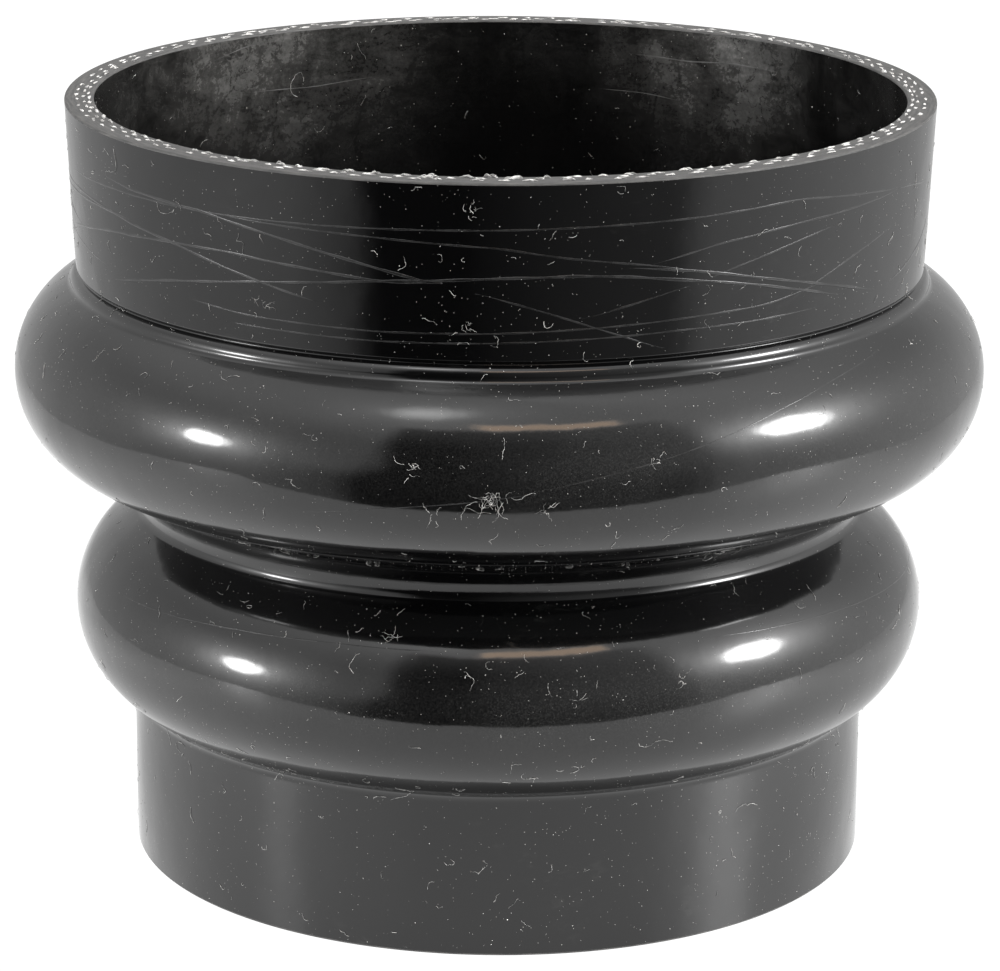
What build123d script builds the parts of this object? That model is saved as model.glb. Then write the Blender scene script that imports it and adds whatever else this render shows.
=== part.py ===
from build123d import *
import os
from math import cos, sin, tan, radians

# Silicone double-hump reducer hose: a moulded coupling that joins two pipes of unlike
# size. The wide cuff is at the top and the narrow cuff stands on the floor.
# Millimetres, +Z up along the hose, origin at the middle of the foot.

# Outside diameters
upper_cuff_od = 122.7
upper_hump_od = 138.2
waist_od = 104.0
lower_hump_od = 122.0
lower_cuff_od = 105.6

# Heights, between the sharp corners that the fillets round off
upper_cuff_height = 26.2
waist_height = 2.1
lower_cuff_height = 23.0

# Outer radius of the arc over each hump
upper_crest_radius = 13.6
lower_crest_radius = 14.5

# Slope of each hump's sides: how far the outward normal leans from horizontal, in degrees
upper_shoulder_slope = 54.4
upper_base_slope = 68.9
lower_shoulder_slope = 38.7
lower_base_slope = 58.0

# Outer fillets where a hump runs into a cuff or the waist
upper_cuff_fillet = 2.2
waist_fillet = 1.6
lower_cuff_fillet = 2.0

# Half of the arc that the stiff ring at each crest covers, in degrees
crest_half_angle = 13.0

# Rounding of the cover's outer corner at the two cut ends
end_rounding = 0.4

# Bonded layers of the wall from the outside in: name and thickness
layers = [("cover", 1.30), ("ply_3", 0.90), ("ply_2", 0.85), ("ply_1", 0.75), ("liner", 0.40)]


def setback(fillet, turn):
    """Distance along a wall from its sharp corner to the start of the fillet."""
    return fillet * tan(radians(turn) / 2)


def flank(wall_od, hump_od, crest_radius, slope, fillet):
    """Straight part of a hump's side, between the fillet and the crest arc."""
    reach = (hump_od - wall_od) / 2 - crest_radius * (1 - cos(radians(slope)))
    return reach / sin(radians(slope)) - setback(fillet, slope)


def straight(section, length):
    return (section, None, None, length)


def arc(section, to_angle, radius):
    """An arc that ends where the outward normal is at to_angle; a fillet's radius is negative."""
    return (section, to_angle, radius, None)


def wall_legs():
    """The wall's outer line from the foot up, leg by leg, each with its section of the hose."""
    return [
        straight("lower_cuff",
                 lower_cuff_height - setback(lower_cuff_fillet, lower_base_slope)),
        arc("lower_hump_base", -lower_base_slope, -lower_cuff_fillet),
        straight("lower_hump_base",
                 flank(lower_cuff_od, lower_hump_od, lower_crest_radius,
                       lower_base_slope, lower_cuff_fillet)),
        arc("lower_hump_base", -crest_half_angle, lower_crest_radius),
        arc("lower_hump_crest", crest_half_angle, lower_crest_radius),
        arc("lower_hump_shoulder", lower_shoulder_slope, lower_crest_radius),
        straight("lower_hump_shoulder",
                 flank(waist_od, lower_hump_od, lower_crest_radius,
                       lower_shoulder_slope, waist_fillet)),
        arc("waist", 0, -waist_fillet),
        straight("waist", waist_height - setback(waist_fillet, lower_shoulder_slope)
                 - setback(waist_fillet, upper_base_slope)),
        arc("waist", -upper_base_slope, -waist_fillet),
        straight("upper_hump_base",
                 flank(waist_od, upper_hump_od, upper_crest_radius,
                       upper_base_slope, waist_fillet)),
        arc("upper_hump_base", -crest_half_angle, upper_crest_radius),
        arc("upper_hump_crest", crest_half_angle, upper_crest_radius),
        arc("upper_hump_shoulder", upper_shoulder_slope, upper_crest_radius),
        straight("upper_hump_shoulder",
                 flank(upper_cuff_od, upper_hump_od, upper_crest_radius,
                       upper_shoulder_slope, upper_cuff_fillet)),
        arc("upper_hump_shoulder", 0, -upper_cuff_fillet),
        straight("upper_cuff",
                 upper_cuff_height - setback(upper_cuff_fillet, upper_shoulder_slope)),
    ]


def outward(angle):
    """Outward unit normal of the wall, in the XZ plane."""
    return Vector(cos(radians(angle)), 0, sin(radians(angle)))


def upward(angle):
    """Unit tangent of the wall where its normal has this angle, pointing up the hose."""
    return Vector(-sin(radians(angle)), 0, cos(radians(angle)))


def walk(legs):
    """Group the legs by section, each leg as (start, end, start angle, end angle, radius)."""
    sections, point, angle = {}, Vector(lower_cuff_od / 2, 0, 0), 0.0
    for section, to_angle, radius, length in legs:
        if radius is None:
            end, to_angle = point + upward(angle) * length, angle
        else:
            end = point - outward(angle) * radius + outward(to_angle) * radius
        sections.setdefault(section, []).append((point, end, angle, to_angle, radius))
        point, angle = end, to_angle
    return sections


def wall_line(legs, depth):
    """The line that lies a given depth below the wall's outer face, over these legs."""
    edges = []
    for start, end, angle, to_angle, radius in legs:
        first, last = start - outward(angle) * depth, end - outward(to_angle) * depth
        if radius is None:
            edges.append(Line(first, last))
        else:
            middle = (angle + to_angle) / 2
            crown = start - outward(angle) * radius + outward(middle) * (radius - depth)
            edges.append(ThreePointArc(first, crown, last))
    return edges


def layer_ring(legs, outer_depth, inner_depth):
    """One layer over one section of the hose, as a ring with ends square to the wall."""
    outer, inner = wall_line(legs, outer_depth), wall_line(legs, inner_depth)
    ends = [Line(inner[0] @ 0, outer[0] @ 0), Line(inner[-1] @ 1, outer[-1] @ 1)]
    return revolve(make_face(outer + inner + ends), Axis.Z)


def round_end(ring, at_top):
    """Round the cover's outer corner at a cut end of the hose."""
    circles = ring.edges().filter_by(GeomType.CIRCLE).group_by(Axis.Z)[-1 if at_top else 0]
    return fillet(max(circles, key=lambda edge: edge.radius), end_rounding)


def hose_rings():
    """Every layer of every section, by name."""
    rings = {}
    for section, legs in walk(wall_legs()).items():
        depth = 0.0
        for layer, thickness in layers:
            rings[f"{section}_{layer}"] = layer_ring(legs, depth, depth + thickness)
            depth += thickness
    rings["upper_cuff_cover"] = round_end(rings["upper_cuff_cover"], True)
    rings["lower_cuff_cover"] = round_end(rings["lower_cuff_cover"], False)
    return rings


os.makedirs("parts", exist_ok=True)
for name, ring in hose_rings().items():
    export_step(ring, f"parts/{name}.step")

for section, legs in walk(wall_legs()).items():
    low, high = legs[0][0], legs[-1][1]
    print(f"{section}: r {low.X:.3f} z {low.Z:.3f} to r {high.X:.3f} z {high.Z:.3f}")
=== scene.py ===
import math

import bpy
import numpy as np
from mathutils import Matrix, Vector


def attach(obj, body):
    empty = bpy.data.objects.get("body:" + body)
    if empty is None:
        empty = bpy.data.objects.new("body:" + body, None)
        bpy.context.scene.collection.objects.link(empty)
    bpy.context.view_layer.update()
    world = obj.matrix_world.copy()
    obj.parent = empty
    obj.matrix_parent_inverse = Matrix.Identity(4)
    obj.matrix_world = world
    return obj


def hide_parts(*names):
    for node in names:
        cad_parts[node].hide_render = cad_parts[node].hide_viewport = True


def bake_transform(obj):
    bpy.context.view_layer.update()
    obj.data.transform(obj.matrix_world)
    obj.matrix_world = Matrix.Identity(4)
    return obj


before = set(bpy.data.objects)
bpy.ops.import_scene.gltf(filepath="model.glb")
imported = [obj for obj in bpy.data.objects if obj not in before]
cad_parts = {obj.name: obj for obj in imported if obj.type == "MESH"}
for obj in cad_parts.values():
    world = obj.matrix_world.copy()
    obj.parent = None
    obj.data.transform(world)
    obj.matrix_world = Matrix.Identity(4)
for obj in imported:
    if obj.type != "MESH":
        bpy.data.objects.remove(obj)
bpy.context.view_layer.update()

# ---------------------------------------------------------------------------
# Sizes, in millimetres, as the CAD has them
# ---------------------------------------------------------------------------
MM = 0.001
WALL = 4.2
COVER = 1.3
LINER = 0.4
HEIGHT = 109.253
UPPER_CUFF, UPPER_HUMP, WAIST = 122.7, 138.2, 104.0
LOWER_HUMP, LOWER_CUFF = 122.0, 105.6
LOWER_CUFF_HEIGHT, WAIST_HEIGHT = 23.0, 2.1
UPPER_CREST, LOWER_CREST = 13.6, 14.5
UPPER_SHOULDER, UPPER_BASE, LOWER_SHOULDER, LOWER_BASE = 54.4, 68.9, 38.7, 58.0
UPPER_CUFF_FILLET, WAIST_FILLET, LOWER_CUFF_FILLET = 2.2, 1.6, 2.0
EDGE = 0.3               # rounding of the cut edges
SIDES = 320              # faces round the hose

# Where the visible shape leaves the CAD, in degrees
CUFF_LEAN = 2.7          # the wide cuff's outside narrows towards the hump
SEEN_SHOULDER = 50.0     # the lower hump's shoulder is steeper
HOLLOW_SPLIT = 10.0      # where two skins meet in the waist's hollow


def setback(fillet, turn):
    return fillet * math.tan(math.radians(turn) / 2)


def flank(wall_od, hump_od, crest_radius, slope, fillet):
    reach = (hump_od - wall_od) / 2 - crest_radius * (1 - math.cos(math.radians(slope)))
    return reach / math.sin(math.radians(slope)) - setback(fillet, slope)


def outward(angle):
    a = np.radians(angle)
    return np.stack([np.cos(a), np.sin(a)], -1)


def upward(angle):
    a = np.radians(angle)
    return np.stack([-np.sin(a), np.cos(a)], -1)


class Walk:
    """A line in the radius-height plane, sampled as it is drawn.

    It keeps its points and, at each one, the angle of the outward normal in degrees.
    """

    def __init__(self, point, angle=0.0):
        self.point, self.angle = np.array(point, float), float(angle)
        self.points, self.angles = [self.point.copy()], [self.angle]

    def straight(self, length, step=1.2):
        n = max(1, math.ceil(length / step))
        start = self.point.copy()
        for k in range(1, n + 1):
            self.add(start + upward(self.angle) * length * k / n, self.angle)
        return self

    def arc(self, to_angle, radius, step=2.5):
        centre = self.point - outward(self.angle) * radius
        first = self.angle
        n = max(2, math.ceil(abs(to_angle - first) / (step if radius > 0 else 2 * step)))
        for k in range(1, n + 1):
            a = first + (to_angle - first) * k / n
            self.add(centre + outward(a) * radius, a)
        return self

    def add(self, point, angle):
        self.point, self.angle = np.array(point, float), float(angle)
        self.points.append(self.point.copy())
        self.angles.append(self.angle)

    def arrays(self):
        return np.array(self.points), np.array(self.angles)


lower_cuff_run = LOWER_CUFF_HEIGHT - setback(LOWER_CUFF_FILLET, LOWER_BASE)
waist_run = (WAIST_HEIGHT - setback(WAIST_FILLET, LOWER_SHOULDER)
             - setback(WAIST_FILLET, UPPER_BASE))


def foot_to_crest(w):
    w.straight(lower_cuff_run, 1.5).arc(-LOWER_BASE, -LOWER_CUFF_FILLET)
    w.straight(flank(LOWER_CUFF, LOWER_HUMP, LOWER_CREST, LOWER_BASE, LOWER_CUFF_FILLET))
    return w.arc(0, LOWER_CREST)


def cad_shoulder(w):
    w.arc(LOWER_SHOULDER, LOWER_CREST)
    w.straight(flank(WAIST, LOWER_HUMP, LOWER_CREST, LOWER_SHOULDER, WAIST_FILLET))
    return w.arc(0, -WAIST_FILLET).straight(waist_run / 2)


def cad_base(w):
    w.straight(waist_run / 2).arc(-UPPER_BASE, -WAIST_FILLET)
    w.straight(flank(WAIST, UPPER_HUMP, UPPER_CREST, UPPER_BASE, WAIST_FILLET))
    return w.arc(0, UPPER_CREST)


def seen_shoulder(w):
    """A steeper shoulder, a tight fillet at its foot, and the start of the waist's wide hollow."""
    w.arc(SEEN_SHOULDER, LOWER_CREST)
    w.straight(flank(WAIST, LOWER_HUMP, LOWER_CREST, SEEN_SHOULDER, WAIST_FILLET))
    w.arc(0, -WAIST_FILLET)
    return w.arc(-HOLLOW_SPLIT, -hollow(), 3)


def seen_base(w):
    """The rest of the hollow, the flank and the underside of the upper hump."""
    w.arc(-UPPER_BASE, -hollow(), 3)
    base = math.radians(UPPER_BASE)
    reach = UPPER_HUMP / 2 - UPPER_CREST * (1 - math.cos(base)) - w.point[0]
    return w.straight(reach / math.sin(base)).arc(0, UPPER_CREST)


def hollow():
    """Radius of the waist's hollow that keeps the upper hump's crest at the CAD's height."""
    a, b = math.radians(UPPER_BASE), math.radians(SEEN_SHOULDER)
    crest = cad_base(cad_shoulder(Walk((LOWER_HUMP / 2, 0.0)))).point[1]
    foot = (LOWER_CREST + WAIST_FILLET) * math.sin(b) + math.cos(b) * flank(
        WAIST, LOWER_HUMP, LOWER_CREST, SEEN_SHOULDER, WAIST_FILLET)
    rise = crest - foot - UPPER_CREST * math.sin(a)
    reach = (UPPER_HUMP - WAIST) / 2 - UPPER_CREST * (1 - math.cos(a))
    return (rise - reach / math.tan(a)) / (math.sin(a) - (1 - math.cos(a)) / math.tan(a))


def cad_neck(w):
    w.arc(UPPER_SHOULDER, UPPER_CREST)
    w.straight(flank(UPPER_CUFF, UPPER_HUMP, UPPER_CREST, UPPER_SHOULDER, UPPER_CUFF_FILLET))
    w.arc(0, -UPPER_CUFF_FILLET)
    return w.straight(HEIGHT - w.point[1], 1.5)


def seen_neck(w):
    """The flank, a bead with a ledge on top, the wrapping tape's lip over it, and the cuff."""
    w.arc(60, UPPER_CREST).straight(0.9)
    w.arc(4, -1.0, 4).arc(50, 1.5, 4).arc(64, 0.5, 7).straight(0.57, 0.6)
    w.arc(-62, -0.16, 12).arc(-CUFF_LEAN, 0.6, 8)
    return w.straight((HEIGHT - EDGE - w.point[1]) / math.cos(math.radians(CUFF_LEAN)), 1.5)


LEGS = [      # outside line and inside line of each skin
    (foot_to_crest, foot_to_crest),
    (seen_shoulder, cad_shoulder),
    (seen_base, cad_base),
    (seen_neck, cad_neck),
]


def lines():
    """Outside and inside line of each skin from the foot up, as (points, normal angles) each."""
    made = []
    outside = inside = Walk((LOWER_CUFF / 2, 0.0))
    for seen, hidden in LEGS:
        outside = seen(Walk(outside.point, outside.angle))
        inside = hidden(Walk(inside.point))
        ip, ia = inside.arrays()
        made.append((outside.arrays(), (ip - outward(ia) * WALL, ia)))
    return made


SKIN_LINES = lines()

# ---------------------------------------------------------------------------
# Mesh building
# ---------------------------------------------------------------------------


def turned(points_rz, phi):
    """Radius-height pairs to x, y, z at angle phi: 0 is the front (-Y), 90 degrees is +X."""
    r, z = points_rz[..., 0], points_rz[..., 1]
    return np.stack(np.broadcast_arrays(r * np.sin(phi), -r * np.cos(phi), z), -1)


def mesh_from(name, verts, faces, material_index=None, corner_normals=None):
    """Mesh in metres from vertices in millimetres and quads; an attribute keeps the rest place."""
    mesh = bpy.data.meshes.new(name)
    verts = np.asarray(verts, float) * MM
    faces = np.asarray(faces, np.int32)
    mesh.vertices.add(len(verts))
    mesh.vertices.foreach_set("co", verts.astype(np.float32).ravel())
    mesh.loops.add(faces.size)
    mesh.loops.foreach_set("vertex_index", faces.ravel())
    mesh.polygons.add(len(faces))
    loop_start = np.arange(len(faces), dtype=np.int32) * faces.shape[1]
    mesh.polygons.foreach_set("loop_start", loop_start)
    mesh.polygons.foreach_set("use_smooth", np.ones(len(faces), bool))
    if material_index is not None:
        mesh.polygons.foreach_set("material_index", np.asarray(material_index, np.int32))
    mesh.update(calc_edges=True)
    rest = mesh.attributes.new("rest", "FLOAT_VECTOR", "POINT")
    rest.data.foreach_set("vector", (verts / MM).astype(np.float32).ravel())
    mesh.validate()
    if corner_normals is not None:
        corner_normals = np.asarray(corner_normals, np.float32).reshape(-1, 3)
        mesh.normals_split_custom_set(corner_normals)
    obj = bpy.data.objects.new(name, mesh)
    bpy.context.scene.collection.objects.link(obj)
    return obj


def revolve(name, strips, materials):
    """A closed solid of revolution.

    strips are (points, normal angles, material number) and follow each other round the section.
    """
    points, pieces = [], []
    for strip_points, angles, material in strips:
        strip_points = np.asarray(strip_points, float)
        first = len(points) - 1 if points else 0
        if not points:
            points.append(strip_points[0])
        for k in range(1, len(strip_points)):
            points.append(strip_points[k])
            pieces.append((first + k - 1, first + k, angles[k - 1], angles[k], material))
    points = points[:-1]          # the last one is the first one again
    count = len(points)
    phi = np.arange(SIDES) * 2 * np.pi / SIDES
    verts = turned(np.array(points)[:, None, :], phi[None, :]).reshape(-1, 3)
    faces, mats, normals = [], [], []
    here, after = np.arange(SIDES), (np.arange(SIDES) + 1) % SIDES
    for a, b, angle_a, angle_b, material in pieces:
        b %= count
        corners = [a * SIDES + here, a * SIDES + after, b * SIDES + after, b * SIDES + here]
        faces.append(np.stack(corners, 1))
        mats.append(np.full(SIDES, material))
        na, nb = outward(angle_a), outward(angle_b)
        normals.append(np.stack([
            turned(na[None, :], phi[here]), turned(na[None, :], phi[after]),
            turned(nb[None, :], phi[after]), turned(nb[None, :], phi[here])], 1))
    obj = mesh_from(name, verts, *map(np.concatenate, (faces, mats, normals)))
    for m in materials:
        obj.data.materials.append(m)
    return obj


class Bits:
    """Collects many small closed shapes made of quads into one mesh."""

    def __init__(self):
        self.verts, self.faces, self.count = [], [], 0

    def add(self, verts, faces):
        self.verts.append(np.asarray(verts, float))
        self.faces.append(np.asarray(faces, int) + self.count)
        self.count += len(verts)

    def tube(self, path, radius, across, flat=1.0):
        """A tube of four sides along path, flattened along across, a direction for each point."""
        path = np.asarray(path, float)
        n = len(path)
        radius = np.broadcast_to(radius, n)[:, None]
        along = np.gradient(path, axis=0)
        along /= np.linalg.norm(along, axis=1)[:, None] + 1e-12
        side = np.cross(across, along)
        side /= np.linalg.norm(side, axis=1)[:, None] + 1e-12
        up = np.cross(along, side)
        rings = np.stack([path + side * radius, path + up * radius * flat,
                          path - side * radius, path - up * radius * flat], 1)
        verts = rings.reshape(-1, 3)
        faces = []
        for k in range(n - 1):
            for s in range(4):
                t = (s + 1) % 4
                faces.append([4 * k + s, 4 * k + t, 4 * k + 4 + t, 4 * k + 4 + s])
        faces.append([3, 2, 1, 0])
        e = 4 * (n - 1)
        faces.append([e, e + 1, e + 2, e + 3])
        self.add(verts, faces)

    def object(self, name, *materials):
        obj = mesh_from(name, np.concatenate(self.verts), np.concatenate(self.faces))
        for m in materials:
            obj.data.materials.append(m)
        return obj


class Surface:
    """The outside or inside of a skin, by the length along its line and the angle round it."""

    def __init__(self, points, angles, inside=False):
        step = np.linalg.norm(np.diff(points, axis=0), axis=1)
        self.s = np.concatenate([[0], np.cumsum(step)])
        self.points, self.angles, self.sign = points, angles, (-1 if inside else 1)
        self.length = self.s[-1]

    def at(self, s, phi, lift=0.0):
        r = np.interp(s, self.s, self.points[:, 0])
        z = np.interp(s, self.s, self.points[:, 1])
        a = np.interp(s, self.s, self.angles)
        n = turned(outward(a) * self.sign, phi)
        return turned(np.stack([r, z], -1), phi) + n * np.asarray(lift)[..., None], n

    def radius(self, s):
        return np.interp(s, self.s, self.points[:, 0])

    def s_of_height(self, z):
        return np.interp(z, self.points[:, 1], self.s)


# ---------------------------------------------------------------------------
# Materials
# ---------------------------------------------------------------------------


class Graph:
    """A small hand for wiring shader nodes."""

    def __init__(self, tree):
        self.tree = tree
        tree.nodes.clear()

    def node(self, kind, **settings):
        n = self.tree.nodes.new(kind)
        for key, value in settings.items():
            setattr(n, key, value)
        return n

    def put(self, socket, value):
        if isinstance(value, bpy.types.NodeSocket):
            self.tree.links.new(value, socket)
        elif value is not None:
            socket.default_value = value

    def put_all(self, n, **values):
        """Sets the inputs of node n; an underscore in a name stands for a space."""
        for key, value in values.items():
            self.put(n.inputs[key.replace("_", " ")], value)

    def math(self, operation, a, b=None):
        n = self.node("ShaderNodeMath", operation=operation)
        for socket, value in zip(n.inputs, (a, b)):
            self.put(socket, value)
        return n.outputs[0]

    def add(self, *terms):
        total = terms[0]
        for t in terms[1:]:
            total = self.math("ADD", total, t)
        return total

    def mul(self, *terms):
        total = terms[0]
        for t in terms[1:]:
            total = self.math("MULTIPLY", total, t)
        return total

    def minus(self, a, b):
        return self.math("SUBTRACT", a, b)

    def larger(self, a, b):
        return self.math("MAXIMUM", a, b)

    def hypot(self, a, b):
        return self.math("SQRT", self.add(self.mul(a, a), self.mul(b, b)))

    def ramp(self, value, low, high, to_low=0.0, to_high=1.0, kind="SMOOTHSTEP"):
        n = self.node("ShaderNodeMapRange", interpolation_type=kind)
        self.put_all(n, Value=value, From_Min=low, From_Max=high, To_Min=to_low, To_Max=to_high)
        return n.outputs[0]

    def bell(self, value, centre, width):
        """1 at centre, falling to 0 at width to either side."""
        away = self.math("ABSOLUTE", self.minus(value, centre))
        return self.ramp(away, 0.0, width, 1.0, 0.0)

    def split(self, vector):
        n = self.node("ShaderNodeSeparateXYZ")
        self.put(n.inputs[0], vector)
        return n.outputs

    def join(self, x, y, z):
        n = self.node("ShaderNodeCombineXYZ")
        for socket, value in zip(n.inputs, (x, y, z)):
            self.put(socket, value)
        return n.outputs[0]

    def noise(self, vector, scale, detail=2.0, rough=0.5, distortion=0.0):
        n = self.node("ShaderNodeTexNoise")
        self.put_all(n, Vector=vector, Scale=scale, Detail=detail, Roughness=rough,
                     Distortion=distortion)
        return n.outputs["Fac"]

    def cells(self, vector, scale):
        """Distance to the nearest cell's centre, and a random number for that cell."""
        n = self.node("ShaderNodeTexVoronoi", feature="F1")
        self.put_all(n, Vector=vector, Scale=scale)
        return n.outputs["Distance"], self.split(n.outputs["Color"])[0]

    def mix(self, factor, a, b):
        n = self.node("ShaderNodeMix", data_type="RGBA")
        self.put_all(n, Factor=factor, A=a, B=b)
        return n.outputs["Result"]

    def bump(self, height, strength=1.0, distance=MM):
        n = self.node("ShaderNodeBump")
        self.put_all(n, Height=height, Strength=strength, Distance=distance)
        return n.outputs[0]

    def rest(self):
        """The point's place at rest, in millimetres."""
        return self.node("ShaderNodeAttribute", attribute_name="rest").outputs["Vector"]


RUBBER_IOR = 1.42
MEAN_RADIUS = 60.0       # mm, turns an angle round the hose into a length
# heights in mm of the middles of the humps and the waist, and of the neck
UPPER_HUMP_AT, LOWER_HUMP_AT, WAIST_AT, NECK_AT = 72.5, 38.0, 55.5, 84.5
# colours of the cover: clean, under a film, under settled dust, and of a speck
CLEAN, FILMED = (0.0014, 0.0014, 0.0015, 1), (0.013, 0.013, 0.0125, 1)
DUSTED, SPECK = (0.019, 0.019, 0.0186, 1), (0.27, 0.265, 0.25, 1)
# colours of the inside: clean, bloomed, and of a speck
LINER_CLEAN, LINER_BLOOM = (0.0016, 0.0016, 0.0016, 1), (0.165, 0.162, 0.154, 1)
LINER_SPECK = (0.20, 0.195, 0.18, 1)
# the inside's marks in mm round from the front: where each one lies, and how far it reaches
LEFT_BLOOM, RIGHT_BLOOM, SEAM = (-146.0, 42.0), (152.0, 24.0), (38.0, 0.5)
WEAVE = 0.16             # scale of the woven ply's bands
# darkest and palest colour of the cut, the threads, the lint and the raised lines
CUT_TONES = (0.028, 0.028, 0.028, 1), (0.075, 0.073, 0.07, 1)
THREAD_TONES = (0.20, 0.195, 0.19, 1), (0.80, 0.79, 0.77, 1)
LINT_TONES = (0.12, 0.12, 0.117, 1), (0.60, 0.59, 0.57, 1)
RIDGE_TONES = (0.004, 0.004, 0.004, 1), (0.019, 0.019, 0.019, 1)


def material(name, ior=None):
    m = bpy.data.materials.new(name)
    m.use_nodes = True
    g = Graph(m.node_tree)
    bsdf = g.node("ShaderNodeBsdfPrincipled")
    if ior is not None:
        bsdf.inputs["IOR"].default_value = ior
    out = g.node("ShaderNodeOutputMaterial")
    g.tree.links.new(bsdf.outputs[0], out.inputs[0])
    return m, g, bsdf


def round_and_up(g, rest):
    """Length round the hose, height and radius, in millimetres."""
    x, y, z = g.split(rest)
    phi = g.math("ARCTAN2", x, g.mul(y, -1.0))
    return g.mul(phi, MEAN_RADIUS), z, g.hypot(x, y)


def dust(g, rest, scale, share, size):
    """Specks of one size; share says how many of the cells show one."""
    distance, pick = g.cells(rest, scale)
    shown = g.math("GREATER_THAN", pick, 1.0 - share)
    return g.mul(shown, g.ramp(distance, size * 0.6, size, 1.0, 0.0))


def cover_material():
    m, g, bsdf = material("black_silicone_gloss", RUBBER_IOR)
    rest = g.rest()
    around, up, radius = round_and_up(g, rest)
    # smudges, a film in swirls, and specks
    haze = g.ramp(g.noise(rest, 0.055, 4.0, 0.6, 0.6), 0.52, 0.72)
    swirl = g.join(g.mul(around, 0.30), g.mul(up, 0.75), radius)
    film = g.mul(g.ramp(g.noise(swirl, 1.0, 4.0, 0.65, 1.2), 0.52, 0.74), haze)
    dusty = g.ramp(g.noise(rest, 0.035, 2.0, 0.5), 0.35, 0.6)
    small = g.mul(dust(g, rest, 1.9, 0.26, 0.12), g.add(dusty, 0.25))
    specks = g.larger(dust(g, rest, 0.75, 0.34, 0.060), small)
    # dust that has settled on the humps, in a fine mottle
    settled = g.larger(g.bell(up, UPPER_HUMP_AT, 12.0), g.bell(up, LOWER_HUMP_AT, 11.0))
    mottle = g.ramp(g.noise(rest, 4.2, 4.0, 0.7), 0.30, 0.80)
    veil = g.mul(settled, mottle, g.ramp(g.noise(rest, 0.045, 2.0), 0.35, 0.6, 0.45, 1.0))
    base = g.mix(veil, g.mix(g.mul(film, 0.6), CLEAN, FILMED), DUSTED)
    g.put(bsdf.inputs["Base Color"], g.mix(specks, base, SPECK))
    fine = g.ramp(g.noise(rest, 1.6, 3.0, 0.6), 0.45, 0.75)
    rough = g.add(0.085, g.mul(haze, 0.035), g.mul(film, 0.13), g.mul(fine, 0.02),
                  g.mul(specks, 0.4))
    g.put(bsdf.inputs["Roughness"], rough)
    # the mould's slow waves, the faint grain, and the turned lines of the waist and the neck
    slow = g.noise(rest, 0.06, 2.0, 0.4)
    ripple = g.noise(rest, 0.22, 2.0, 0.45)
    grain = g.noise(rest, 0.9, 3.0, 0.55)
    turning = g.join(g.mul(around, 0.02), g.mul(up, 3.0), radius)
    depth = g.add(g.mul(g.bell(up, WAIST_AT, 7.0), 0.016), g.mul(g.bell(up, NECK_AT, 2.6), 0.004),
                  0.0005)
    height = g.add(g.mul(slow, 0.26), g.mul(ripple, 0.030), g.mul(grain, 0.0030),
                   g.mul(g.noise(turning, 1.0, 3.0, 0.7), depth))
    g.put(bsdf.inputs["Normal"], g.bump(height))
    return m


def inside_material():
    m, g, bsdf = material("black_silicone_inside", RUBBER_IOR)
    rest = g.rest()
    around, up, _ = round_and_up(g, rest)
    x, y, z = g.split(rest)

    def bands(along):
        wave = g.node("ShaderNodeTexWave", wave_type="BANDS", bands_direction="X")
        g.put_all(wave, Vector=g.join(along, 0.0, 0.0), Scale=WEAVE)
        return wave.outputs["Fac"]

    # the woven ply presses through the thin liner
    cloth = g.mul(bands(g.add(around, up)), bands(g.minus(around, up)))
    # bloom on two sides, strongest near the rim, scuffed, mottled and cracked
    patch = g.noise(g.join(x, y, g.mul(z, 0.7)), 0.06, 5.0, 0.65, 0.8)
    scuff = g.noise(g.join(x, y, g.mul(z, 2.2)), 0.22, 5.0, 0.75, 0.6)
    mottle = g.noise(rest, 1.9, 4.0, 0.75)
    wander = g.mul(g.noise(rest, 0.25, 3.0, 0.6), 9.0)
    crackle = g.node("ShaderNodeTexVoronoi", feature="DISTANCE_TO_EDGE")
    bent = g.join(g.add(x, wander), g.add(y, wander), g.mul(g.add(z, wander), 0.8))
    g.put_all(crackle, Vector=bent, Scale=0.11)
    crack = g.mul(g.ramp(crackle.outputs["Distance"], 0.0, 0.035, 1.0, 0.0),
                  g.ramp(patch, 0.42, 0.55))
    sides = g.add(g.bell(around, *LEFT_BLOOM), g.mul(g.bell(around, *RIGHT_BLOOM), 0.95), 0.10)
    dirt = g.mul(sides, g.ramp(up, 88.0, 107.0, 0.14, 1.0), g.ramp(patch, 0.30, 0.74, 0.2, 1.0),
                 g.ramp(scuff, 0.25, 0.80, 0.25, 1.0), g.ramp(mottle, 0.3, 0.8, 0.4, 1.0),
                 g.minus(1.0, g.mul(crack, 0.5)))
    specks = g.larger(dust(g, rest, 0.6, 0.22, 0.075), dust(g, rest, 1.5, 0.10, 0.11))
    base = g.mix(dirt, LINER_CLEAN, LINER_BLOOM)
    g.put(bsdf.inputs["Base Color"], g.mix(specks, base, LINER_SPECK))
    rough = g.add(0.12, g.mul(g.ramp(patch, 0.4, 0.7), 0.14), g.mul(dirt, 0.5))
    g.put(bsdf.inputs["Roughness"], rough)
    height = g.add(g.mul(cloth, 0.010), g.mul(g.noise(rest, 0.5, 4.0, 0.6), 0.02),
                   g.mul(g.bell(around, *SEAM), -0.12), g.mul(g.noise(rest, 0.06, 2.0), 0.25))
    g.put(bsdf.inputs["Normal"], g.bump(height))
    return m


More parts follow.
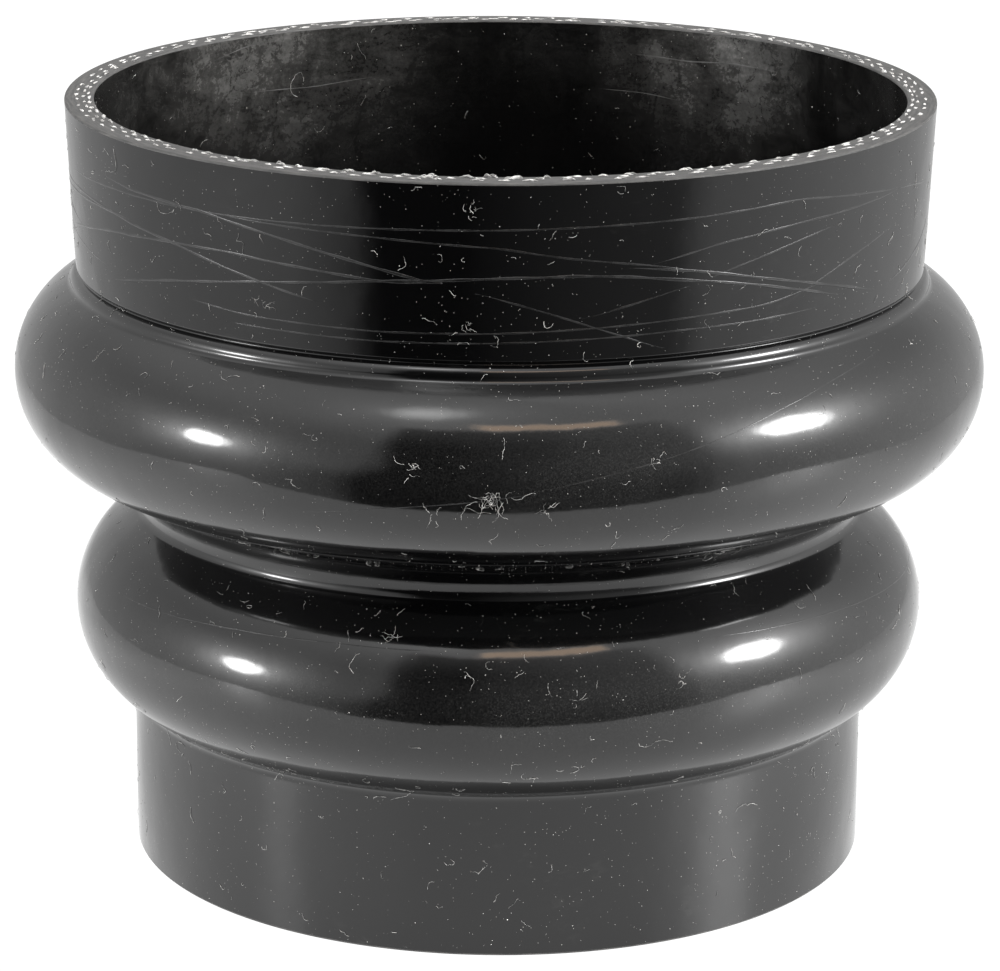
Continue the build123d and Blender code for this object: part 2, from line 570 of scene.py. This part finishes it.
def cut_material():
    m, g, bsdf = material("cut_wall", RUBBER_IOR)
    rest = g.rest()
    around, _, radius = round_and_up(g, rest)
    drag = g.join(g.mul(around, 0.25), 0.0, g.mul(radius, 2.5))
    streak = g.noise(drag, 1.0, 4.0, 0.65)
    grain = g.noise(rest, 3.5, 3.0, 0.6)
    g.put(bsdf.inputs["Base Color"], g.mix(g.ramp(streak, 0.3, 0.75), *CUT_TONES))
    g.put(bsdf.inputs["Roughness"], g.add(0.5, g.mul(grain, 0.25)))
    g.put(bsdf.inputs["Normal"], g.bump(g.add(g.mul(streak, 0.05), g.mul(grain, 0.02))))
    return m


def thread_material():
    m, g, bsdf = material("polyester_thread")
    rest = g.rest()
    tone = g.noise(rest, 1.1, 3.0, 0.6)
    g.put(bsdf.inputs["Base Color"], g.mix(g.ramp(tone, 0.35, 0.65), *THREAD_TONES))
    g.put(bsdf.inputs["Roughness"], g.add(0.45, g.mul(tone, 0.2)))
    bsdf.inputs["Sheen Weight"].default_value = 0.3
    g.put(bsdf.inputs["Normal"], g.bump(g.noise(rest, 12.0, 2.0), 0.6, 0.05 * MM))
    return m


def lint_material():
    m, g, bsdf = material("lint")
    tone = g.noise(g.rest(), 0.9, 2.0, 0.6)
    g.put(bsdf.inputs["Base Color"], g.mix(g.ramp(tone, 0.35, 0.65), *LINT_TONES))
    g.put(bsdf.inputs["Roughness"], g.add(0.5, g.mul(tone, 0.2)))
    g.put(bsdf.inputs["Normal"], g.bump(tone, 0.3, 0.02 * MM))
    return m


def ridge_material():
    m, g, bsdf = material("black_silicone_ridge", RUBBER_IOR)
    rest = g.rest()
    tone = g.noise(rest, 0.35, 3.0, 0.6)
    g.put(bsdf.inputs["Base Color"], g.mix(g.ramp(tone, 0.3, 0.7), *RIDGE_TONES))
    g.put(bsdf.inputs["Roughness"], g.add(0.14, g.mul(tone, 0.16)))
    g.put(bsdf.inputs["Normal"], g.bump(g.noise(rest, 1.5, 2.0), 0.5, 0.01 * MM))
    return m


COVER_MAT, INSIDE_MAT, CUT_MAT = cover_material(), inside_material(), cut_material()
THREAD_MAT, LINT_MAT, RIDGE_MAT = thread_material(), lint_material(), ridge_material()

# ---------------------------------------------------------------------------
# The four skins
# ---------------------------------------------------------------------------


def level(points_rz, angle):
    return np.asarray(points_rz, float), np.full(len(points_rz), float(angle))


FOOT_GROOVE = 0.15       # mm


def rounded_end(outer, inner, top):
    """The cut end of the wall: from the outside to the inside at the top, and back at the foot."""
    if top:
        (r0, z0), a0 = outer
        w = Walk((r0, z0), a0).arc(90, EDGE, 15)
        across = w.point[0] - (inner + EDGE)
        w.straight(across, 0.35).arc(180, EDGE, 15)
        return w.points, w.angles
    w = Walk((inner, EDGE), 180).arc(270, EDGE, 15)
    liner, cover = inner + LINER + 0.05, outer - COVER
    # the plies are drawn back a little from the foot, which leaves room for their thread ends
    for r, z in ((liner, 0.0), (liner, FOOT_GROOVE), (cover, FOOT_GROOVE), (cover, 0.0),
                 (outer - EDGE, 0.0)):
        w.add((r, z), 270)
    w.arc(360, EDGE, 15)
    return w.points, w.angles


SKINS = [
    # name, its bodies, heights in mm where it leaves the one and where it follows the other
    ("foot_to_lower_crest_skin", "lower_cuff", "lower_hump_crest", 21.9, 32.9),
    ("lower_crest_to_waist_skin", "lower_hump_crest", "waist", 39.4, 52.0),
    ("waist_to_upper_crest_skin", "waist", "upper_hump_crest", 55.0, 67.45),
    ("upper_crest_to_rim_skin", "upper_hump_crest", "upper_cuff", 73.6, 84.15),
]
SECTIONS_OF = [
    ["lower_cuff", "lower_hump_base"],
    ["lower_hump_crest", "lower_hump_shoulder"],
    ["waist", "upper_hump_base"],
    ["upper_hump_crest", "upper_hump_shoulder", "upper_cuff"],
]
LAYERS = ["cover", "ply_3", "ply_2", "ply_1", "liner"]


def bend_with(obj, skin):
    name, a, b, low, high = skin
    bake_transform(obj)


for number, skin in enumerate(SKINS):
    (op, oa), (ip, ia) = SKIN_LINES[number]
    op, ip = op.copy(), ip.copy()
    top, foot = level([op[-1], ip[-1]], 90), level([ip[0], op[0]], -90)
    if skin == SKINS[0]:
        op[0, 1] = ip[0, 1] = EDGE
        foot = rounded_end(op[0, 0], ip[0, 0], False)
    if skin == SKINS[-1]:
        top = rounded_end((op[-1], oa[-1]), ip[-1, 0], True)
        ip[-1, 1] = top[0][-1][1]
    # the last number is the place of each strip's material in the list below
    strips = [(op, oa, 0), (*top, 2), (ip[::-1], ia[::-1] + 180, 1), (*foot, 2)]
    piece = revolve(skin[0], strips, [COVER_MAT, INSIDE_MAT, CUT_MAT])
    bend_with(piece, skin)
    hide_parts(*[f"{s}_{layer}" for s in SECTIONS_OF[number] for layer in LAYERS])

OUTSIDE = [Surface(*o) for o, i in SKIN_LINES]
INSIDE = [Surface(*i, inside=True) for o, i in SKIN_LINES]
CUFF = OUTSIDE[3]

# ---------------------------------------------------------------------------
# Thread ends of the three plies at both cut faces
# ---------------------------------------------------------------------------
PLY_ROWS = [1.72, 2.71, 3.42]      # depth from the outside
ENDS_PER_TURN = 100
MISSING_ENDS = 0.06
STRANDS = 9                        # in each thread end


def thread_ends(name, body, outer_radius, height, upwards, seed):
    rng = np.random.default_rng(seed)
    bits = Bits()
    for row, depth in enumerate(PLY_ROWS):
        radius = outer_radius - depth
        for k in range(ENDS_PER_TURN):
            if rng.random() < MISSING_ENDS:
                continue
            phi = 2 * np.pi * (k + 0.33 * row + rng.normal(0, 0.10)) / ENDS_PER_TURN
            length = rng.uniform(0.9, 1.9)
            lean = rng.normal(0.25, 0.2)
            r_mid = radius + rng.normal(0, 0.07)
            fray = 0.35 + 0.65 * (0.5 + 0.5 * math.cos(phi))      # most on the front side
            proud = 0.0
            if upwards:                                           # the inner row stands tallest
                proud = (0.06 + rng.gamma(2.0, 0.065)) * (1.5 if row == 2 else 0.8) * fray
            for _ in range(STRANDS):
                t = np.linspace(-0.5, 0.5, 5)
                off_r = rng.normal(0, 0.10) + lean * t * 0.5 + rng.normal(0, 0.03, 5)
                off_p = (t * rng.uniform(0.35, 0.95) + rng.uniform(-0.3, 0.3)) * length
                lift = (proud * rng.uniform(0.1, 1.0) * (1 - (2 * t) ** 2)
                        + rng.normal(0, 0.02, 5) + rng.uniform(0, 0.03))
                z = height + lift
                if not upwards:
                    z = np.clip(height + 0.04 + np.abs(lift) * 0.3, 0.045, 0.12)
                points = turned(np.stack([r_mid + off_r, z], -1), phi + off_p / radius)
                thick = rng.uniform(0.035, 0.07) * (0.6 + 0.4 * fray)
                bits.tube(points, thick * np.sqrt(np.clip(1 - (1.7 * t) ** 2, 0.15, 1)),
                          np.tile([0.0, 0.0, 1.0], (5, 1)), 0.75)
    obj = bits.object(name, THREAD_MAT)
    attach(obj, body)


rim_radius = SKIN_LINES[3][0][0][-1, 0]
thread_ends("rim_thread_ends", "upper_cuff", rim_radius, HEIGHT, True, 11)
thread_ends("foot_thread_ends", "lower_cuff", LOWER_CUFF / 2, 0.0, False, 12)

# ---------------------------------------------------------------------------
# Marks that the wrapping tape left on the wide cuff: degrees from the front, mm below the rim
# ---------------------------------------------------------------------------
# half width and height in mm
STRONG, FINE, HAIR, SCRATCH = (0.23, 0.045), (0.15, 0.018), (0.085, 0.016), (0.14, 0.012)
WRAP_MARKS = [
    (STRONG, [(-88, 11.4), (-75, 10.9), (-60, 10.6), (-45, 12.3), (-32, 15.1), (-23, 17.1)]),
    (FINE, [(-76, 8.0), (-59, 7.3), (-36, 7.0), (-15, 6.5), (0, 6.2), (25, 5.6), (40, 5.0),
            (62, 7.3)]),
    (STRONG, [(-61, 6.0), (-52, 6.6), (-40, 7.0), (-29, 8.8), (-19, 10.9), (-10, 13.0),
              (-7, 13.4)]),
    (STRONG, [(-78, 16.3), (-60, 13.4), (-46, 12.2), (-36, 11.9), (-24, 12.7), (-15, 13.5),
              (-7, 13.4)]),
    (STRONG, [(-60, 20.3), (-46, 17.5), (-32, 15.4), (-15, 13.5), (0, 12.6), (10, 12.4),
              (17, 12.9), (26, 14.4)]),
    (FINE, [(-36, 7.1), (-24, 7.4), (-15, 7.7), (0, 8.6), (8, 10.0), (19, 11.5), (26, 13.1),
            (34, 14.7)]),
    (FINE, [(-43, 19.4), (-34, 20.1), (-15, 20.3), (0, 20.0), (17, 19.3), (26, 18.9),
            (36, 18.6), (44, 17.2)]),
    (FINE, [(-36, 21.5), (-15, 21.6), (0, 21.3), (22, 20.6), (36, 20.6), (44, 20.4)]),
    (STRONG, [(62, 7.4), (68, 8.0), (75, 9.1)]),
    (FINE, [(19, 11.4), (28, 9.4), (39, 8.3), (53, 7.8), (62, 7.5)]),
    (FINE, [(26, 14.3), (29, 13.2), (40, 10.7), (47, 9.5)]),
    (STRONG, [(15, 12.6), (26, 14.2), (34, 15.7), (42, 17.7), (49, 19.6)]),
    (STRONG, [(16, 11.6), (26, 12.9), (33, 14.5), (42, 16.6), (50, 18.6), (57, 20.5)]),
    (STRONG, [(60, 20.5), (66, 19.3), (74, 17.3), (80, 14.5)]),
    (FINE, [(42, 17.6), (45, 16.5), (52, 14.3), (61, 12.2)]),
    (FINE, [(-3, 14.5), (6, 17.3), (14, 20.3), (21, 23.0)]),
    (FINE, [(10, 18.3), (16, 16.7), (24, 14.6)]),
]


def ridges(name, surface, marks, look=RIDGE_MAT):
    """Thin raised lines on a surface.

    marks are (half width and height, [(degrees from the front, height in mm)]).
    """
    bits = Bits()
    for (half, tall), stations in marks:
        deg, tops = np.array(stations).T
        n = max(8, int((deg[-1] - deg[0]) / 0.8))
        at = np.linspace(deg[0], deg[-1], n)
        # a smooth line past the stations
        kernel = np.hanning(9)
        kernel /= kernel.sum()
        knots = np.interp(at, deg, tops)
        knots = np.convolve(np.pad(knots, 4, mode="edge"), kernel, mode="valid")
        from_end = np.minimum(np.arange(n), np.arange(n)[::-1])
        taper = np.clip(from_end / 6.0, 0.12, 1) * (0.8 + 0.2 * np.sin(at * 0.9))
        path, normal = surface.at(surface.s_of_height(knots), np.radians(at), np.zeros(n))
        along = np.gradient(path, axis=0)
        along /= np.linalg.norm(along, axis=1)[:, None]
        side = np.cross(normal, along)
        w, h = side * (half * taper)[:, None], normal * (tall * taper)[:, None]
        sink, edge = normal * 0.05, normal * 0.004
        rings = np.stack([path - w - sink, path - w - edge, path - w * 0.55 + h * 0.75,
                          path + h, path + w * 0.55 + h * 0.75,
                          path + w - edge, path + w - sink, path - sink], 1)
        rows, m = rings.shape[:2]
        faces = []
        for k in range(rows - 1):
            for c in range(m):
                d = (c + 1) % m
                faces.append([m * k + c, m * k + m + c, m * k + m + d, m * k + d])
        last = m * (rows - 1)
        for quad in ((0, 1, 2, 3), (0, 3, 4, 7), (4, 5, 6, 7)):
            faces.append(list(quad))
            faces.append([last + c for c in reversed(quad)])
        bits.add(rings.reshape(-1, 3), faces)
    obj = bits.object(name, look)
    return obj


def cuff_marks():
    rng = np.random.default_rng(21)
    marks = [(size, [(deg, HEIGHT - low) for deg, low in stations])
             for size, stations in WRAP_MARKS]
    for _ in range(16):                            # the side that faces away has its own
        start, span = rng.uniform(85, 240), rng.uniform(35, 95)
        a, b = rng.uniform(4, 21, 2)
        sag = rng.normal(0, 1.5)
        t = np.linspace(0, 1, 6)
        low = np.clip(a + (b - a) * t + sag * 4 * t * (1 - t), 2.5, 21.5)
        size = STRONG if rng.random() < 0.4 else FINE
        marks.append((size, list(zip(start + span * t, HEIGHT - low))))
    return marks


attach(ridges("cuff_wrap_marks", CUFF, cuff_marks()), "upper_cuff")
bend_with(ridges("upper_shoulder_marks", CUFF, [
    (HAIR, [(5, 70.7), (11.1, 72.2), (17.8, 73.8), (25.2, 75.8), (33.7, 78.2), (42.4, 80.1),
            (55.2, 81.9)]),
    (HAIR, [(120, 71.0), (150, 74.5), (185, 78.0), (215, 79.5)]),
]), SKINS[3])
bend_with(ridges("upper_base_marks", OUTSIDE[2], [
    (HAIR, [(-22, 66.0), (-12, 67.8), (-2, 69.2), (4, 70.3)]),
    (HAIR, [(200, 69.0), (225, 66.0), (250, 64.5)]),
]), SKINS[2])
bend_with(ridges("lower_shoulder_marks", OUTSIDE[1], [
    (HAIR, [(-62, 43.3), (-48, 43.9), (-38, 44.5), (-23, 45.0), (-8, 45.1)]),
    (HAIR, [(30, 45.0), (52, 44.2), (75, 43.0), (100, 42.5)]),
]), SKINS[1])
bend_with(ridges("inside_rim_scratches", INSIDE[3], [
    (SCRATCH, [(133, 104.8), (143, 104.9), (150, 104.4), (160, 104.9)]),
    (SCRATCH, [(-142, 108.2), (-137, 107.5), (-131, 106.2)]),
    (HAIR, [(150, 98.0), (157, 98.9), (165, 99.1)]),
    (HAIR, [(-160, 101.0), (-150, 100.2), (-138, 100.6)]),
], CUT_MAT), SKINS[3])

# ---------------------------------------------------------------------------
# Lint and dust that sits on the rubber
# ---------------------------------------------------------------------------


def lint(name, skin, surface, low, high, fibres, specks, seed, tufts=()):
    """Curled fibres and specks all the way round, between two lengths along the skin's line.

    tufts are knots of fibres: (degrees from the front, height in mm, how many, reach in mm).
    """
    rng = np.random.default_rng(seed)
    bits = Bits()
    for degrees, height, count, reach in tufts:
        s0, p0 = surface.s_of_height(height), math.radians(degrees)
        for heading in rng.uniform(0, 2 * np.pi, count):
            n = 11
            step = rng.uniform(0.35, 1.0) * reach / n
            turn = heading + np.cumsum(rng.normal(0, 0.5, n))
            start_s, start_p = rng.normal(0, 0.22 * reach, 2)
            ss = s0 + start_s + np.cumsum(np.sin(turn)) * step
            ss = np.where(ss > high, 2 * high - ss, np.where(ss < low, 2 * low - ss, ss))
            pp = p0 + (start_p + np.cumsum(np.cos(turn)) * step) / surface.radius(s0)
            lift = 0.025 + 0.04 * np.sin(np.linspace(0, np.pi, n))
            path, normal = surface.at(ss, pp, lift)
            bits.tube(path, rng.uniform(0.016, 0.03) * np.linspace(1.0, 0.6, n), normal)
    for _ in range(fibres):
        n = int(rng.integers(5, 15))
        step = rng.uniform(0.10, 0.24) * (2.2 if rng.random() < 0.08 else 1.0)
        heading = rng.uniform(0, 2 * np.pi)
        curl = rng.normal(0, 0.16)
        s, phi = rng.uniform(low, high), rng.uniform(-np.pi, np.pi)
        ss, pp = [s], [phi]
        for _ in range(n - 1):
            heading += curl + rng.normal(0, 0.42)
            s += step * math.sin(heading)
            phi += step * math.cos(heading) / surface.radius(s)
            ss.append(s)
            pp.append(phi)
        ss = np.clip(ss, low, high)
        bow = rng.uniform(0.0, 0.10)
        lift = 0.03 + bow * np.sin(np.linspace(0, np.pi, n))
        path, normal = surface.at(ss, np.array(pp), lift)
        thick = rng.uniform(0.015, 0.034)
        bits.tube(path, thick * np.linspace(1.0, 0.6, n), normal)
    for _ in range(specks):
        size = 0.02 + rng.gamma(2.0, 0.010)
        centre, normal = surface.at(rng.uniform(low, high), rng.uniform(-np.pi, np.pi), 0.01)
        a = rng.uniform(0, np.pi)
        t = np.cross(normal, [0, 0, 1.0])
        t /= np.linalg.norm(t) + 1e-9
        d = t * math.cos(a) + np.cross(normal, t) * math.sin(a)
        path = np.stack([centre - d * size, centre + normal * size * 0.3,
                         centre + d * size * rng.uniform(0.6, 1.2)])
        bits.tube(path, size * np.array([0.3, 1.0, 0.3]), np.tile(normal, (3, 1)), 0.6)
    obj = bits.object(name, LINT_MAT)
    bend_with(obj, skin)


for number, name, (start, stop), fibres, specks, seed, tufts in (
    (0, "foot_to_lower_crest_lint", (0.5, 0.0), 250, 1300, 31,
     [(4, 27.5, 6, 2.2), (-31, 24.8, 5, 1.6)]),
    (1, "lower_crest_to_waist_lint", (0.0, 2.0), 130, 700, 32,
     [(-14, 46.5, 6, 1.8), (24, 40.2, 5, 2.0), (10, 39.0, 5, 1.6)]),
    (2, "waist_to_upper_crest_lint", (2.0, 0.0), 210, 1400, 33,
     [(-0.5, 69.6, 16, 5.0), (-0.5, 69.2, 8, 2.4), (5, 68.2, 6, 2.6), (-7, 66.8, 5, 2.2)]),
    (3, "upper_crest_to_rim_lint", (0.0, 0.4), 340, 1900, 34,
     [(-9.5, 73.5, 8, 2.4), (-4, 90.5, 5, 1.6), (-31, 90.5, 7, 2.4), (-3.5, 105.5, 5, 1.8),
      (17, 74.2, 5, 2.0)]),
):
    # start and stop: mm kept free at the two ends of the skin's line
    lint(name, SKINS[number], OUTSIDE[number], start, OUTSIDE[number].length - stop,
         fibres, specks, seed, tufts)
lint("inside_rim_lint", SKINS[3], INSIDE[3], 14.0, INSIDE[3].length - 0.5,
     70, 500, 35)

# ---------------------------------------------------------------------------
# Studio: a pale table that gives off painted light and painted shade, in a soft white tent, with a
# lamp at each side, one above, and a dark opening
# ---------------------------------------------------------------------------
FLOOR_HALF, FLOOR_FRONT, FLOOR_BACK, FLOOR_CORNER = 0.27, -0.148, 0.36, 0.06      # m
FLOOR_BELOW = 0.0002     # m, so that the floor doesn't touch the cut foot
CORNER_POINTS = 25
WHITE, BLACK, WARM = (1, 1, 1, 1), (0, 0, 0, 1), (1.0, 0.76, 0.58, 1)
BACKDROP = 1.1           # strength that shows as pure white
# lamps: azimuth from the front and elevation in degrees, core, peak, halo, reach of the halo,
# height over width, and the outer edge of the core where it fades from its middle
LEFT_LAMP = (-71, 9.5, 6.0, 34.0, 8.0, 7.5, 0.85)
RIGHT_LAMP = (75, 23.5, 9.0, 36.0, 12.0, 8.0, 0.75)
TOP_LAMP = (-32, 68.5, 5.5, 6.0, 2.0, 8.0, 1.0, 1.8)
BEAM_ELEVATION, BEAM_STRENGTH = 55.5, 5.2


def plain_to_camera(g, lit, plain, output):
    """Shows plain to the camera, so that the background stays white, and lit to all other rays."""
    both = g.node("ShaderNodeMixShader")
    g.put(both.inputs[0], g.node("ShaderNodeLightPath").outputs["Is Camera Ray"])
    g.tree.links.new(lit.outputs[0], both.inputs[1])
    g.tree.links.new(plain.outputs[0], both.inputs[2])
    g.tree.links.new(both.outputs[0], g.node(output).inputs[0])


def floor():
    left, right = -FLOOR_HALF + FLOOR_CORNER, FLOOR_HALF - FLOOR_CORNER
    front, back = FLOOR_FRONT + FLOOR_CORNER, FLOOR_BACK - FLOOR_CORNER
    ring = []
    for cx, cy, a0 in ((right, front, -90), (right, back, 0), (left, back, 90), (left, front, 180)):
        for a in np.radians(np.linspace(a0, a0 + 90, CORNER_POINTS)):
            ring.append((cx + FLOOR_CORNER * math.cos(a), cy + FLOOR_CORNER * math.sin(a), 0.0))
    mesh = bpy.data.meshes.new("floor")
    mesh.from_pydata(ring, [], [list(range(len(ring)))])
    obj = bpy.data.objects.new("floor", mesh)
    bpy.context.scene.collection.objects.link(obj)
    obj.location.z = -FLOOR_BELOW
    m = bpy.data.materials.new("table_white_painted_light")
    m.use_nodes = True
    g = Graph(m.node_tree)
    x, y, _ = g.split(g.node("ShaderNodeTexCoord").outputs["Object"])

    def pool(cx, cy, reach, strength):
        """A soft painted pool of light round one point."""
        d = g.math("DIVIDE", g.hypot(g.minus(x, cx), g.minus(y, cy)), reach)
        return g.mul(g.math("EXPONENT", g.mul(g.math("POWER", d, 2.0), -1.0)), strength)

    # painted light given off by the table: brightest near the front, dim behind, with a painted
    # shadow of the hose round its foot
    shade = g.mul(g.ramp(g.hypot(x, y), 0.055, 0.15, 0.45, 0.0), g.ramp(y, -0.07, 0.03))
    glow = g.add(g.ramp(y, -0.07, 0.12, 1.85, 1.05), g.ramp(y, 0.12, 0.30, 0.0, -0.4),
                 pool(0.15, -0.06, 0.075, 0.5), pool(-0.14, -0.06, 0.07, 0.3))
    top = g.node("ShaderNodeBsdfPrincipled")
    top.inputs["Base Color"].default_value = BLACK
    top.inputs["Roughness"].default_value = 0.38
    top.inputs["Emission Color"].default_value = WHITE
    g.put(top.inputs["Emission Strength"], g.mul(glow, g.minus(1.0, shade)))
    plain = g.node("ShaderNodeEmission")
    plain.inputs["Strength"].default_value = BACKDROP
    plain_to_camera(g, top, plain, "ShaderNodeOutputMaterial")
    obj.data.materials.append(m)


floor()


def tent():
    """The world: plain white for the camera, and the lit tent for everything else."""
    world = bpy.data.worlds.new("studio")
    world.use_nodes = True
    bpy.context.scene.world = world
    g = Graph(world.node_tree)
    direction = g.node("ShaderNodeTexCoord").outputs["Generated"]
    x, y, z = g.split(direction)
    az = g.mul(g.math("ARCTAN2", x, g.mul(y, -1.0)), 180 / math.pi)
    el = g.mul(g.math("ARCSINE", z), 180 / math.pi)

    def away(azimuth, elevation):
        """Angle in degrees from a direction."""
        a, e = math.radians(azimuth), math.radians(elevation)
        dot = g.node("ShaderNodeVectorMath", operation="DOT_PRODUCT")
        g.put(dot.inputs[0], direction)
        g.put(dot.inputs[1], (math.sin(a) * math.cos(e), -math.cos(a) * math.cos(e), math.sin(e)))
        return g.mul(g.math("ARCCOSINE", dot.outputs["Value"]), 180 / math.pi)

    def lamp(azimuth, elevation, core, peak, halo, reach, flat, fade=None):
        if flat == 1.0:
            d = away(azimuth, elevation)
        else:
            across = g.minus(az, azimuth)
            over = g.mul(g.minus(el, elevation), 1.0 / flat)
            across = g.mul(across, across, math.cos(math.radians(elevation)) ** 2)
            d = g.math("SQRT", g.add(across, g.mul(over, over)))
        inner, outer = (0.7, 1.35) if fade is None else (0.0, fade)
        past = g.larger(g.minus(d, core), 0.0)
        return g.add(g.ramp(d, core * inner, core * outer, peak, 0.0),
                     g.mul(g.math("EXPONENT", g.mul(past, -1.0 / reach)), halo))

    side = g.math("ABSOLUTE", az)
    wall = g.add(g.ramp(side, 90, 170, 1.15, 0.6), g.ramp(el, 26, 55, 0.0, 0.75),
                 g.ramp(el, -25, -5, 0.0, 0.1), g.mul(g.bell(az, 90.0, 60.0), 0.5))
    low_edge = g.mul(g.ramp(el, 5.0, -10.0), g.ramp(az, -62.0, -30.0),
                     g.ramp(az, -20.0, -10.0, 1.0, 0.0))
    wall = g.mul(wall, g.ramp(low_edge, 0.0, 1.0, 1.0, 0.4, "LINEAR"))
    # the opening in front, and the dim room that shows through it
    left = g.add(az, g.ramp(el, 12.0, -18.0, 0.0, 8.0))
    opening = g.mul(g.ramp(left, -34.0, -23.0), g.ramp(az, 44.0, 58.0, 1.0, 0.0),
                    g.ramp(el, 49.0, 54.0, 1.0, 0.0))
    room = g.add(0.03, g.ramp(az, -10, 45, 0.0, 0.85, "LINEAR"), g.ramp(el, 28, 53, 0.0, 0.3))
    room = g.mul(room, g.ramp(el, -20, 15, 0.45, 1.0))
    closed = g.minus(1.0, opening)
    # a warm strip along the top of the opening
    off_beam = g.math("ABSOLUTE", g.minus(el, BEAM_ELEVATION))
    beam = g.mul(g.ramp(az, -9, -5), g.ramp(az, 38, 42, 1.0, 0.0),
                 g.ramp(off_beam, 2.0, 4.0, 1.0, 0.0))
    lit = g.node("ShaderNodeBackground")
    g.put(lit.inputs["Color"], g.mix(beam, WHITE, WARM))
    g.put(lit.inputs["Strength"], g.add(
        g.mul(wall, closed), g.mul(room, opening),
        g.mul(g.add(lamp(*LEFT_LAMP), lamp(*RIGHT_LAMP)), closed), lamp(*TOP_LAMP),
        g.mul(beam, BEAM_STRENGTH)))
    plain = g.node("ShaderNodeBackground")
    plain.inputs["Color"].default_value = WHITE
    plain.inputs["Strength"].default_value = BACKDROP
    plain_to_camera(g, lit, plain, "ShaderNodeOutputWorld")


tent()

# ---------------------------------------------------------------------------
# Camera
# ---------------------------------------------------------------------------
DISTANCE, AIM = 0.6331, 0.05463                            # m: from the axis, and height
PITCH, ROLL = math.radians(15.86), math.radians(0.30)
LENS, SENSOR = 157.83, 36.0                                # mm
scene = bpy.context.scene
cam_data = bpy.data.cameras.new("camera")
cam_data.lens, cam_data.sensor_width = LENS, SENSOR
cam_data.shift_x, cam_data.shift_y = 0.0012, -0.0212
cam_data.clip_start, cam_data.clip_end = 0.01, 10.0
camera = bpy.data.objects.new("camera", cam_data)
scene.collection.objects.link(camera)
back = Vector((0.0, -math.cos(PITCH), math.sin(PITCH)))
camera.location = Vector((0, 0, AIM)) + back * DISTANCE
camera.rotation_mode = "QUATERNION"
aimed = (-back).to_track_quat("-Z", "Y").to_matrix()
camera.rotation_quaternion = (aimed @ Matrix.Rotation(ROLL, 3, "Z")).to_quaternion()
scene.camera = camera
scene.view_settings.view_transform = "Standard"
